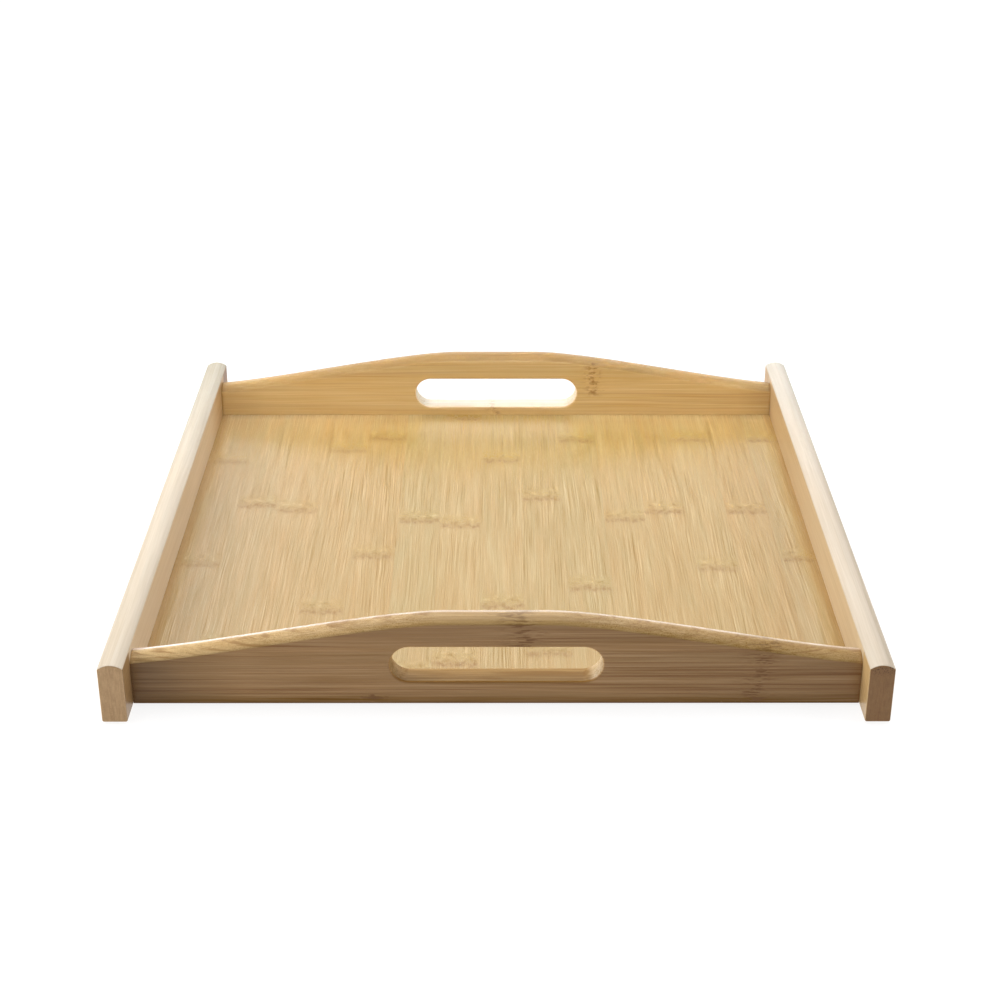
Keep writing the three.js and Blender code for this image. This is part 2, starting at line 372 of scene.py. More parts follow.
class Paint:
    """Builds one node material. Its methods add nodes and return the sockets of the result."""

    def __init__(self, name):
        self.material = bpy.data.materials.new(name)
        self.material.use_nodes = True
        self.tree = self.material.node_tree
        self.tree.nodes.clear()
        self.shader = self.tree.nodes.new("ShaderNodeBsdfPrincipled")
        out = self.tree.nodes.new("ShaderNodeOutputMaterial")
        self.surface = out.inputs["Surface"]
        self.tree.links.new(self.shader.outputs["BSDF"], self.surface)
        place = self.tree.nodes.new("ShaderNodeTexCoord")
        self.place = place.outputs["Object"]

    def put(self, socket, value):
        if isinstance(value, bpy.types.NodeSocket):
            self.tree.links.new(value, socket)
        else:
            socket.default_value = value

    def math(self, operation, a, b=None, c=None):
        node = self.tree.nodes.new("ShaderNodeMath")
        node.operation = operation
        for socket, value in zip(node.inputs, (a, b, c)):
            if value is not None:
                self.put(socket, value)
        return node.outputs[0]

    def add(self, a, b):
        return self.math("ADD", a, b)

    def sub(self, a, b):
        return self.math("SUBTRACT", a, b)

    def mul(self, a, b):
        return self.math("MULTIPLY", a, b)

    def div(self, a, b):
        return self.math("DIVIDE", a, b)

    def top(self, a, b):
        """The larger one of two numbers."""
        return self.math("MAXIMUM", a, b)

    def size(self, a):
        """A number without its sign."""
        return self.math("ABSOLUTE", a)

    def fma(self, a, b, c):
        """a times b, plus c."""
        return self.math("MULTIPLY_ADD", a, b, c)

    def split(self, vector):
        node = self.tree.nodes.new("ShaderNodeSeparateXYZ")
        self.put(node.inputs[0], vector)
        return node.outputs[0], node.outputs[1], node.outputs[2]

    def join(self, x, y, z):
        node = self.tree.nodes.new("ShaderNodeCombineXYZ")
        for socket, value in zip(node.inputs, (x, y, z)):
            self.put(socket, value)
        return node.outputs[0]

    def noise(self, vector, detail, rough=0.5, distort=0.0):
        node = self.tree.nodes.new("ShaderNodeTexNoise")
        node.noise_dimensions = "3D"
        self.put(node.inputs["Vector"], vector)
        settings = {"Scale": 1.0, "Detail": detail, "Roughness": rough, "Distortion": distort}
        for key, value in settings.items():
            self.put(node.inputs[key], value)
        return node.outputs["Fac"]

    def white(self, value, seed):
        node = self.tree.nodes.new("ShaderNodeTexWhiteNoise")
        node.noise_dimensions = "1D"
        self.put(node.inputs["W"], self.add(value, seed))
        return node.outputs["Value"]

    def span(self, value, low, high, to_low=0.0, to_high=1.0, smooth=True):
        """to_low below low, to_high above high, and a smooth or straight change between them."""
        node = self.tree.nodes.new("ShaderNodeMapRange")
        node.interpolation_type = "SMOOTHSTEP" if smooth else "LINEAR"
        settings = {"Value": value, "From Min": low, "From Max": high,
                    "To Min": to_low, "To Max": to_high}
        for key, given in settings.items():
            self.put(node.inputs[key], given)
        return node.outputs[0]

    def rise(self, value, low, high, share=1.0):
        """0 below low and share above high."""
        return self.span(value, low, high, 0.0, share)

    def fade(self, value, low, high):
        """1 below low and 0 above high."""
        return self.span(value, low, high, 1.0, 0.0)

    def steps(self, value, stops):
        """Colour of a stepped scale: stops is [(place, (r, g, b))]."""
        node = self.tree.nodes.new("ShaderNodeValToRGB")
        node.color_ramp.interpolation = "CONSTANT"
        points = node.color_ramp.elements
        while len(points) < len(stops):
            points.new(0.5)
        for point, (place, colour) in zip(points, stops):
            point.position = place
            point.color = (*colour, 1)
        self.put(node.inputs[0], value)
        apart = self.tree.nodes.new("ShaderNodeSeparateColor")
        self.put(apart.inputs[0], node.outputs["Color"])
        return apart.outputs[0], apart.outputs[1], apart.outputs[2]

    def mix(self, factor, a, b):
        """Colour a where the factor is 0 and colour b where it is 1."""
        node = self.tree.nodes.new("ShaderNodeMix")
        node.data_type = "RGBA"
        factor_socket, a_socket, b_socket = node.inputs[0], node.inputs[6], node.inputs[7]
        self.put(factor_socket, factor)
        for socket, value in ((a_socket, a), (b_socket, b)):
            self.put(socket, (*value, 1) if isinstance(value, tuple) else value)
        return node.outputs[2]

    def bump(self, height, distance, strength):
        node = self.tree.nodes.new("ShaderNodeBump")
        self.put(node.inputs["Height"], height)
        node.inputs["Distance"].default_value = distance
        node.inputs["Strength"].default_value = strength
        return node.outputs[0]


# How far the red, green and blue of the wood follow a change of tone: dark fibres are the warmer
# ones, and on the panel the clear coat's pale gloss takes more of the blue change away
TONE_SHARES = (0.83, 1.0, 1.32)
PANEL_TONE_SHARES = (0.76, 1.0, 2.0)
# Colour of growth rings and glue lines, as shares of the wood's own colour
BROWN_SHARES = (0.66, 0.53, 0.38)
# How far red, green and blue follow a change of hue from greenish yellow to orange
WARM_SHARES = (0.3, -0.4, -1.3)
# Roughness and specular level of each clear coat, and of the bare pegs
PANEL_ROUGH, PANEL_GLOSS = 0.27, 0.27
BOARD_ROUGH, BOARD_GLOSS = 0.25, 0.25
RAIL_ROUGH, RAIL_GLOSS = 0.33, 0.42
PEG_ROUGH, PEG_GLOSS = 0.6, 0.5
# How much rougher the inside of a hand slot is
SLOT_ROUGHER = 0.3
# Height of the fibres' relief in metres, on the panel and elsewhere
PANEL_RELIEF = 0.00004
RELIEF = 0.00006
BLACK = (0.0, 0.0, 0.0)
# Shift in the noise from one strip to the next, so that no two look alike
STRIP_SHIFT = 13.7
# Which of its random numbers a strip takes for its tone, its knots' places, its lean and its hue
TONE_DRAW = 3.7
KNOT_DRAW = 31.1
LEAN_DRAW = 57.9
HUE_DRAW = 83.1
# Half-width of a glue line between two strips, in millimetres
SEAM_HALF = 0.4
# How much rougher brown fibres are, how much smoother pale ones, and the bump's strength
BROWN_ROUGHER = 0.15
PALE_SMOOTHER = -0.2
BUMP_STRENGTH = 0.6
# How many hairs lie beside each other in the width of a middle fibre
HAIRS_PER_FIBRE = 2.1
# Relief: how high the middle fibres and the hairs stand, and how deep glue lines and brown fibres
# lie, all to one scale
FIBRE_RIDGE = 1.2
HAIR_RIDGE = 0.8
SEAM_SUNK = 0.5
BROWN_SUNK = 0.8


class Bamboo(Paint):
    """Laminated bamboo: strips side by side, fibres along them and growth rings across them.

    axes names the directions of the fibres, of the strips' widths and of their thickness. The
    strips' first edge and width, and every other length here, are in millimetres. The numbers that
    set a noise's fineness say how many of its features fit in a millimetre, and shift keeps two
    noises apart.

    The methods add to these: tone, a factor on the colour; warm, a turn towards orange; gold, how
    much less blue there is; shade, a step towards black; brown, a step towards the rings' colour;
    relief, the height of the surface; calm, 0 where a growth ring disturbs the fibres; and drift,
    how far the fibres are pushed aside."""

    def __init__(self, name, axes, first, width, seed):
        super().__init__(name)
        self.xyz = dict(zip("xyz", (self.mul(part, 1 / MM) for part in self.split(self.place))))
        self.along, self.across, self.deep = (self.xyz[axis] for axis in axes)
        run = self.div(self.sub(self.across, first), width)
        self.strip = self.math("FLOOR", run)
        self.inside = self.sub(run, self.strip)
        self.width = width
        nearer = self.math("MINIMUM", self.inside, self.sub(1.0, self.inside))
        self.to_seam = self.mul(nearer, width)
        self.offset = self.fma(self.strip, STRIP_SHIFT, seed)
        self.seed = seed
        self.tone = 1.0
        self.warm = 0.0
        self.gold = 0.0
        self.shade = 0.0
        self.brown = 0.0
        self.relief = 0.0
        self.calm = 1.0
        self.drift = 0.0

    def facing(self):
        """Direction in which the surface faces, as three numbers."""
        node = self.tree.nodes.new("ShaderNodeNewGeometry")
        return self.split(node.outputs["Normal"])

    def chance(self, draw):
        """A number from 0 to 1 that each strip draws for itself."""
        return self.white(self.strip, self.seed + draw)

    def swing(self, draw, reach):
        """A number from -reach to reach that each strip draws for itself."""
        return self.mul(self.sub(self.chance(draw), 0.5), 2 * reach)

    def bell(self, distance, width):
        """1 at distance 0, falling off smoothly over the width."""
        return self.fade(self.div(self.size(distance), width), 0.0, 1.0)

    def level(self, place, detail, rough=0.5, distort=0.0):
        """Noise about 0."""
        return self.sub(self.noise(place, detail, rough, distort), 0.5)

    def grain(self, across, along, deep, detail, rough=0.5, shift=0.0):
        """Noise about 0 that follows the fibres."""
        place = self.join(
            self.fma(self.add(self.across, self.drift), across, self.add(self.offset, shift)),
            self.mul(self.along, along),
            self.mul(self.deep, deep),
        )
        return self.level(place, detail, rough)

    def spots(self, across, along, deep, detail, rough, shift):
        """Noise about 0 that stays where it is when the fibres bend."""
        place = self.join(
            self.fma(self.across, across, self.add(self.offset, shift)),
            self.mul(self.along, along),
            self.mul(self.deep, deep),
        )
        return self.level(place, detail, rough)

    def lift(self, change):
        """Adds to the tone."""
        self.tone = self.add(self.tone, change)

    def stain(self, mark):
        """Turns the wood brown where the mark is stronger than what is brown already."""
        self.brown = self.top(self.brown, mark)

    def darken(self, mark):
        """Turns the wood towards black where the mark is stronger than the shade so far."""
        self.shade = self.top(self.shade, mark)

    def sway(self, lean, bend):
        """Fibres lean by a slope that each strip draws, and bend slowly."""
        slope = self.swing(LEAN_DRAW, lean)
        place = self.join(self.offset, self.mul(self.along, 0.011), self.mul(self.across, 0.02))
        slow = self.mul(self.level(place, detail=1.0), bend)
        self.drift = self.add(self.drift, self.add(self.mul(self.along, slope), slow))

    def ring(self, past, share):
        """One growth ring, past being the distance beyond it: a broken brown line, curled flecks
        behind it, and fibres that spread and turn paler in front."""
        wander, by_seam = 11.0, 2.5
        line_half, soft_half, zone_half, fan_half = 5.0, 7.0, 13.0, 22.0
        soft_behind, zone_behind, fan_before = 1.5, 7.0, 12.0
        soft_brown, curl_tone, fan_tone, zone_gold = 0.28, 1.6, 0.035, 0.1
        unrest, push = 0.8, 0.1
        share = self.mul(share, self.span(self.to_seam, 0.0, by_seam, 0.5, 1.0))
        uneven = self.spots(0.22, 0.0, 0.22, detail=4.0, rough=0.72, shift=2.2)
        past = self.add(past, self.mul(uneven, wander))
        broken = self.spots(0.4, 0.2, 0.4, detail=3.0, rough=0.65, shift=4.4)
        line = self.mul(self.bell(past, line_half), self.span(broken, -0.14, 0.14, 0.24, 0.8))
        soft = self.mul(self.bell(self.sub(past, soft_behind), soft_half), soft_brown)
        self.stain(self.mul(self.top(line, soft), share))
        zone = self.mul(self.bell(self.sub(past, zone_behind), zone_half), share)
        curl = self.spots(0.27, 0.2, 0.27, detail=3.0, rough=0.66, shift=6.6)
        self.lift(self.mul(self.mul(curl, zone), curl_tone))
        self.gold = self.add(self.gold, self.mul(zone, zone_gold))
        self.calm = self.mul(self.calm, self.sub(1.0, self.mul(zone, unrest)))
        fan = self.mul(self.bell(self.add(past, fan_before), fan_half), share)
        self.lift(self.mul(fan, fan_tone))
        pushed = self.mul(self.add(fan, zone), push * self.width)
        self.drift = self.sub(self.drift, self.mul(self.sub(self.inside, 0.5), pushed))

    def ring_rows(self, place, pitch, share):
        """Growth rings at a pitch along each strip, one of them at a given place."""
        half = self.mul(pitch, 0.5)
        off = self.add(self.sub(self.along, place), half)
        self.ring(self.sub(self.math("FLOORED_MODULO", off, pitch), half), share)

    def knot(self, place, low, high, share, half, fine):
        """A growth ring seen from the side of the strips, between two heights: rows of short dark
        dashes, half being how far they reach to each side and fine how many rows fit in 1 mm."""
        edge, uneven = 2.5, 0.175
        dash_brown, dot_brown, mark_shade, pale_tone, reach_tone = 0.95, 0.5, 0.24, 0.16, 0.05
        within = self.mul(self.rise(self.across, low - edge, low + edge),
                          self.fade(self.across, high - edge, high + edge))
        past = self.add(self.sub(self.along, place), self.swing(KNOT_DRAW, uneven * half))
        reach = self.mul(self.mul(self.bell(past, half), within), share)
        core = self.mul(self.mul(self.bell(past, half / 3), within), share)
        dashes, dots, pales = (
            self.spots(fine, length / half, fine, detail=2.0, rough=0.6, shift=shift)
            for length, shift in ((1.8, 1.9), (4.5, 8.3), (2.5, 5.7)))
        dash = self.mul(self.rise(dashes, 0.0, 0.08), self.mul(reach, dash_brown))
        dot = self.mul(self.rise(dots, -0.04, 0.1), self.mul(core, dot_brown))
        mark = self.math("MINIMUM", self.add(dash, dot), 1.0)
        self.stain(mark)
        self.darken(self.mul(mark, mark_shade))
        pale = self.mul(self.mul(self.rise(pales, 0.02, 0.14), reach), pale_tone)
        self.lift(self.sub(pale, self.mul(reach, reach_tone)))

    def fibres(self, fine, fine_tone, hair_tone, wide_tone, drawn=1.0):
        """Fibres of three widths. fine is how many of the middle ones fit in a millimetre, and
        drawn their length against their width."""
        hairs = fine * HAIRS_PER_FIBRE
        clear = self.grain(0.07, 0.007, 0.1, detail=1.0, shift=5.0)
        clear = self.mul(self.span(clear, -0.16, 0.14, 0.75, 1.1), self.calm)
        middle = self.grain(fine, 0.012 / drawn, fine, detail=3.0, rough=0.62)
        hair = self.grain(hairs, 0.03 / drawn, hairs, detail=2.0, rough=0.6, shift=3.3)
        wide = self.grain(0.2, 0.006, 0.2, detail=1.0, shift=7.7)
        lines = self.add(self.mul(middle, fine_tone), self.mul(hair, hair_tone))
        self.lift(self.add(self.mul(lines, clear), self.mul(wide, wide_tone)))
        ridges = self.add(self.mul(middle, FIBRE_RIDGE), self.mul(hair, HAIR_RIDGE))
        self.relief = self.add(self.relief, ridges)

    def pale_streaks(self, count, share, length):
        """Single paler fibre bundles, count being how many fit in a millimetre."""
        streak = self.rise(self.grain(count, 1 / length, count, detail=1.0, shift=12.1), 0.08, 0.24)
        self.lift(self.mul(self.mul(streak, share), self.calm))

    def strips(self, tone, seam):
        """Every strip has its own tone, and a glue line shows between two."""
        self.lift(self.swing(TONE_DRAW, tone))
        line = self.bell(self.to_seam, SEAM_HALF)
        self.stain(self.mul(line, seam))
        self.relief = self.sub(self.relief, self.mul(line, SEAM_SUNK))

    def clouds(self, size, tone):
        """Soft patches of another tone, twice as long as wide."""
        place = self.join(self.div(self.across, size), self.div(self.along, 2 * size),
                          self.div(self.deep, size))
        self.lift(self.mul(self.level(place, detail=2.0), tone))

    def dark_lines(self, count, share, low, high, shift=9.1, deep=0.1):
        """Long thin lines where the fibres are dense: more than low, and fully so from high on.
        count is how many fit in a millimetre, and deep how many in one of the strips' thickness."""
        dense = self.grain(count, 0.0035, deep, detail=2.0, rough=0.65, shift=shift)
        lines = self.mul(self.rise(dense, low, high), share)
        self.stain(self.mul(lines, self.span(self.calm, 0.0, 1.0, 0.4, 1.0)))

    def hues(self, strip, patch):
        """Strips and soft long patches of a more greenish or a more orange hue."""
        place = self.join(self.fma(self.across, 0.16, self.offset), self.mul(self.along, 0.018),
                          self.seed)
        soft = self.level(place, detail=2.0, rough=0.6)
        own = self.swing(HUE_DRAW, strip)
        self.warm = self.add(self.warm, self.add(own, self.mul(soft, patch)))

    def speckle(self, where, tone, dark=0.0, counts=(0.8, 1.5, 1.5)):
        """Cut fibre ends, as short flecks. counts is how many fit in 1 mm along x, y and z."""
        places = (self.mul(self.xyz[axis], count) for axis, count in zip("xyz", counts))
        fleck = self.level(self.join(*places), detail=3.0, rough=0.7, distort=0.3)
        darker = self.mul(self.rise(fleck, 0.02, 0.14), dark)
        self.lift(self.mul(self.sub(self.mul(fleck, tone), darker), where))

    def finish(self, colour, rough, gloss, relief=RELIEF, shares=TONE_SHARES):
        """Puts it all on the shader. relief is the bump's height in metres, and shares say how far
        red, green and blue follow the tone."""
        change = self.sub(self.tone, 1.0)
        parts = colour if isinstance(colour, tuple) else self.split(colour)
        channels = [self.mul(self.fma(change, share, 1.0),
                             self.mul(self.fma(self.warm, turn, 1.0), part))
                    for share, turn, part in zip(shares, WARM_SHARES, parts)]
        channels[2] = self.mul(channels[2], self.sub(1.0, self.gold))
        browns = [self.mul(part, share) for share, part in zip(BROWN_SHARES, parts)]
        wood = self.mix(self.brown, self.join(*channels), self.join(*browns))
        self.put(self.shader.inputs["Base Color"], self.mix(self.shade, wood, BLACK))
        rough = self.fma(self.brown, BROWN_ROUGHER, self.fma(change, PALE_SMOOTHER, rough))
        self.put(self.shader.inputs["Roughness"], rough)
        self.shader.inputs["Specular IOR Level"].default_value = gloss
        height = self.sub(self.relief, self.mul(self.brown, BROWN_SUNK))
        self.put(self.shader.inputs["Normal"], self.bump(height, relief, BUMP_STRENGTH))
        return self.material


PANEL_COLOUR = (0.406, 0.266, 0.094)
PEG_COLOUR = (0.68, 0.51, 0.32)

# Width of a strip, and where the first one starts, in the boards and in the panel
BOARD_STRIP = 6.1
BOARD_EDGE = 0.4
PANEL_STRIP = 25.08
PANEL_EDGE = 15.7
# Number of the panel's leftmost strip, counted from PANEL_EDGE
PANEL_FIRST = -8
# A strip so wide that a peg is cut from one
PEG_STRIP = 40.0

# Looks of the handle boards:
# face, top, crest_highlight: colours of the face, of the domed top and of the painted highlight
# on the top's inner edge
# slot, lit_slot_end: colours of the hand slot's inside, and of its right end with painted light
# from the left
# contrast: strength of the fibres and dark lines
# flecks, arris: strength of the flecks on the top and of the line under it
# left_light: how much paler the top is painted at its left end, a painted light from the left
# ends: how far in from the left and from the right end the face has painted shade, and how much
# crown, foot: how much darker the face is over the slot, and its painted shade at the foot
# turn: how far the surface looks upwards where the top's colour begins and where it is full
# tones: how far red, green and blue follow the tone
# knots: place across the tray, lowest and highest point, strength, reach and rows per millimetre
# Both boards are of one wood: the front board's face and slot are darker than the rear board's
# face, a painted shade
FRONT_BOARD = {
    "seed": 11.0,
    "face": (0.395, 0.228, 0.096),
    "top": (0.394, 0.25, 0.099),
    "crest_highlight": (0.66, 0.54, 0.42),
    "slot": (0.39, 0.225, 0.06),
    "lit_slot_end": (0.69, 0.54, 0.34),
    "contrast": 1.0,
    "flecks": 1.0,
    "arris": 0.25,
    "left_light": 0.42,
    "ends": ((58.0, 0.4), (150.0, 0.21)),
    "crown": 0.14,
    "foot": 0.55,
    "turn": (0.25, 0.5),
    "tones": (0.8, 1.0, 1.6),
    "knots": [(12.3, 30.0, 54.0, 1.0, 18.0, 0.9), (135.0, -4.0, 54.0, 1.0, 17.0, 0.9),
              (-62.0, -4.0, 6.0, 0.9, 15.0, 0.8)],
}
# The rear board's face is paler than its top and than the front board's face, a painted light, and
# its near-white slot is painted light too
REAR_BOARD = {
    "seed": 17.0,
    "face": (0.622, 0.422, 0.177),
    "top": (0.40, 0.245, 0.082),
    "crest_highlight": (0.40, 0.245, 0.082),
    "slot": (0.90, 0.82, 0.66),
    "lit_slot_end": (0.90, 0.82, 0.66),
    "contrast": 0.55,
    "flecks": 0.1,
    "arris": 0.0,
    "left_light": 0.0,
    "ends": ((30.0, 0.12), (22.0, 0.2)),
    "crown": 0.06,
    "foot": 0.1,
    "turn": (0.0, 0.8),
    "tones": (0.62, 1.0, 2.0),
    "knots": [(65.7, 22.0, 54.0, 0.8, 10.0, 0.5), (-2.0, 6.0, 13.0, 0.8, 8.0, 0.5)],
}

# Looks of the rails:
# top, side, overhang_shade, end: colours of the top, the side, the painted shade of the side's part
# past the board, and the end
# dots: strength of the dots near the end's top
# rear: how much darker and how much greyer the top is at the rear
# corner: where the inner side's painted shade towards the rear board starts, and its strength
LEFT_RAIL = {
    "seed": 31.0,
    "top": (0.54, 0.45, 0.335),
    "side": (0.72, 0.57, 0.39),
    "overhang_shade": (0.32, 0.19, 0.08),
    "end": (0.51, 0.313, 0.148),
    "dots": 0.0,
    "rear": (0.26, 0.18),
    "corner": (110.0, 0.42),
}
RIGHT_RAIL = {
    "seed": 37.0,
    "top": (0.506, 0.42, 0.315),
    "side": (0.605, 0.465, 0.288),
    "overhang_shade": (0.50, 0.33, 0.145),
    # Its end is darker than the left rail's: darker end grain, and painted shade on the tray's
    # right side
    "end": (0.26, 0.125, 0.036),
    "dots": 1.0,
    "rear": (0.0, 0.12),
    "corner": (-120.0, 0.24),
}

# Growth rings of the panel's strips from left to right: place and pitch in millimetres, strength
PANEL_RINGS = [
    (93.4, 139.7, 0.7), (30.0, 168.0, 1.0), (23.1, 172.0, 1.0), (110.3, 211.0, 0.9),
    (129.2, 165.8, 0.9), (9.6, 176.0, 1.0), (2.9, 159.0, 1.0), (94.9, 190.0, 1.0),
    (39.5, 185.0, 0.9), (126.0, 201.0, 1.0), (10.8, 167.0, 0.9), (21.6, 181.0, 1.0),
    (127.5, 178.8, 0.9), (21.6, 170.0, 1.0), (125.9, 166.3, 0.9),
]


def ring_table(wood, table, first):
    """Place, pitch and strength of a strip's growth rings, from a table with a row for each strip
    from the first on. The lengths pass through the stepped scale as shares of the tray."""
    at = wood.div(wood.add(wood.sub(wood.strip, first), 0.5), len(table))
    stops = [(i / len(table),
              ((place + TRAY_LENGTH / 2) / TRAY_LENGTH, pitch / TRAY_LENGTH, share))
             for i, (place, pitch, share) in enumerate(table)]
    place, pitch, share = wood.steps(at, stops)
    place = wood.fma(place, TRAY_LENGTH, -TRAY_LENGTH / 2)
    return place, wood.mul(pitch, TRAY_LENGTH), share


def panel_bamboo():
    wood = Bamboo("panel bamboo", "yxz", PANEL_EDGE, PANEL_STRIP, seed=4.0)
    wood.sway(lean=0.015, bend=2.0)
    wood.ring_rows(*ring_table(wood, PANEL_RINGS, PANEL_FIRST))
    wood.fibres(fine=2.1, fine_tone=1.6, hair_tone=1.4, wide_tone=0.15)
    wood.pale_streaks(count=0.7, share=0.04, length=90.0)
    wood.strips(tone=0.03, seam=0.12)
    wood.hues(strip=0.055, patch=0.3)
    wood.clouds(size=60.0, tone=0.1)

    # The left side is paler and greyer, and the rear more golden, a painted reflection of the rear
    # board
    to_left = wood.fade(wood.across, -RAIL_INNER, -20.0)
    wood.warm = wood.sub(wood.warm, wood.mul(to_left, 0.06))
    rear_board_reflection = wood.rise(wood.along, 60.0, 140.0, 0.09)
    wood.gold = wood.add(wood.gold, wood.fma(to_left, -0.14, rear_board_reflection))
    # The rear is painted paler, a painted light against the rear board's shade, but its middle, in
    # front of the rear slot, has painted shade up to the last millimetres before the board. The
    # right side is darker, but not beside the rail
    middle = wood.fade(wood.size(wood.across), 45.0, 56.0)
    paler = wood.mul(wood.rise(wood.along, 122.0, 160.0, 0.2), wood.sub(1.0, middle))
    paler = wood.add(paler, wood.rise(wood.along, 155.0, 167.0, 0.22))
    paler = wood.fma(to_left, 0.03, paler)
    darker = wood.mul(wood.rise(wood.along, 95.0, 130.0, 0.08), middle)
    to_right = wood.sub(wood.rise(wood.across, 40.0, 110.0, 0.04),
                        wood.rise(wood.across, 145.0, RAIL_INNER, 0.06))
    wood.lift(wood.sub(paler, wood.add(darker, to_right)))
    # The last millimetres beside the rails are browner and warmer: a dark joint, with painted
    # contact shade and a painted reflection of the rails
    rail_shade_and_reflection = wood.rise(wood.size(wood.across), RAIL_INNER - 7.0, RAIL_INNER - 0.5)
    wood.stain(wood.mul(rail_shade_and_reflection, 0.3))
    wood.warm = wood.add(wood.warm, wood.mul(rail_shade_and_reflection, 0.1))
    return wood.finish(PANEL_COLOUR, PANEL_ROUGH, PANEL_GLOSS, PANEL_RELIEF, PANEL_TONE_SHARES)


def board_bamboo(name, look):
    wood = Bamboo(name, "xzy", BOARD_EDGE, BOARD_STRIP, look["seed"])
    contrast = look["contrast"]
    wood.sway(lean=0.003, bend=2.0)
    for knot in look["knots"]:
        wood.knot(*knot)
    wood.fibres(fine=0.75, fine_tone=0.95 * contrast, hair_tone=0.9 * contrast,
                wide_tone=0.3 * contrast, drawn=1.6)
    wood.strips(tone=0.035 * contrast, seam=0.18 * contrast)
    wood.dark_lines(count=0.5, share=contrast, low=0.06, high=0.19)
    wood.dark_lines(count=1.1, share=contrast, low=0.06, high=0.19, shift=14.9)
    wood.dark_lines(count=0.4, share=0.5 * contrast, low=0.04, high=0.2, shift=21.7, deep=0.7)
    wood.hues(strip=0.03, patch=0.15)
    wood.clouds(size=30.0, tone=0.1)

    # Where the surface lies: in the slot, on the dome or on its inner edge, on the line under the
    # dome, beside the rails or at the foot. across, along and up say which way it looks
    x, z = wood.xyz["x"], wood.xyz["z"]
    to_side = wood.size(x)
    across, along, up = wood.facing()
    turned = wood.size(across)
    from_slot = wood.size(wood.sub(z, SLOT_CENTRE))
    half_length, half_height = SLOT_LENGTH / 2, SLOT_HEIGHT / 2
    slot = wood.mul(wood.fade(to_side, half_length + 2.0, half_length + 3.0),
                    wood.fade(from_slot, half_height + 1.8, half_height + 2.4))
    slot = wood.mul(slot, wood.fade(wood.size(along), 0.45, 0.95))
    high = wood.mul(wood.rise(z, SLOT_CENTRE - 4.0, SLOT_CENTRE - 2.0), wood.sub(1.0, slot))
    dome = wood.mul(wood.rise(up, *look["turn"]), high)
    # Painted highlight on the dome's inner edge
    crest_highlight = wood.mul(dome, wood.rise(along, 0.03, 0.2))
    arris = wood.mul(wood.mul(wood.rise(up, 0.05, 0.25), wood.fade(up, 0.4, 0.6)), high)
    joint = wood.rise(to_side, BOARD_HALF - 2.0, BOARD_HALF - 0.3)
    foot = wood.fade(z, 0.0, 8.5)

    # Brown lines fade on the dome and in the slot, and run along the arris and the joints
    faded = wood.fma(dome, 0.35, wood.mul(slot, 0.45))
    wood.brown = wood.mul(wood.brown, wood.sub(1.0, faded))
    wood.stain(wood.top(wood.mul(arris, look["arris"]), wood.mul(joint, 0.5)))

    # The dome turns darker with height, and from left to right it turns from painted light into
    # painted shade; the face has painted shade towards its foot
    left_light = look["left_light"]
    by_height = wood.span(z, 28.0, 49.0, 0.11, -0.11, smooth=False)
    left_light_fall = wood.span(x, -BOARD_HALF, BOARD_HALF, left_light, -0.3 * left_light, smooth=False)
    change = wood.mul(dome, wood.add(by_height, left_light_fall))
    wood.lift(wood.sub(change, wood.mul(foot, look["foot"])))

    # Painted shade at both ends and along the lower edge, and darker over the slot
    left, right = (wood.span(wood.mul(x, way), BOARD_HALF - reach, BOARD_HALF, 0.0, share, False)
                   for way, (reach, share) in zip((-1.0, 1.0), look["ends"]))
    crown = wood.rise(z, 30.0, 42.0, look["crown"])
    shade = wood.top(wood.top(left, right), crown)
    shade = wood.mul(shade, wood.sub(1.0, wood.mul(dome, look["flecks"])))
    edge = wood.mul(wood.fade(z, 0.0, 2.6), 0.75 * look["foot"])
    wood.darken(edge)
    wood.darken(shade)

    # Cut fibre ends on the slanting parts of the dome and at the slot's round ends
    slanted = wood.mul(dome, wood.span(turned, 0.0, 0.08, 0.2, 1.0))
    slanted = wood.mul(slanted, look["flecks"])
    wood.speckle(slanted, tone=3.2, dark=1.1, counts=(1.2, 1.8, 1.8))
    wood.speckle(wood.mul(slot, wood.rise(turned, 0.3, 0.6)), tone=1.3, dark=0.2)
    wood.lift(wood.mul(slanted, 0.16))

    # The right end of the slot is paler, a painted light from the left, and the left end has some
    # of it
    lit_slot_end_mask = wood.top(wood.fade(across, -0.7, -0.2), wood.rise(across, 0.3, 0.8, 0.3))
    inside = wood.mix(lit_slot_end_mask, look["slot"], look["lit_slot_end"])
    outside = wood.mix(crest_highlight, wood.mix(dome, look["face"], look["top"]), look["crest_highlight"])
    colour = wood.mix(slot, outside, inside)
    # It is warmer where it rounds over to the front
    outward = wood.mul(slot, wood.fade(along, -0.7, -0.1))
    wood.warm = wood.add(wood.warm, wood.mul(outward, 0.32))
    rough = wood.fma(slot, SLOT_ROUGHER, BOARD_ROUGH)
    return wood.finish(colour, rough, BOARD_GLOSS, shares=look["tones"])


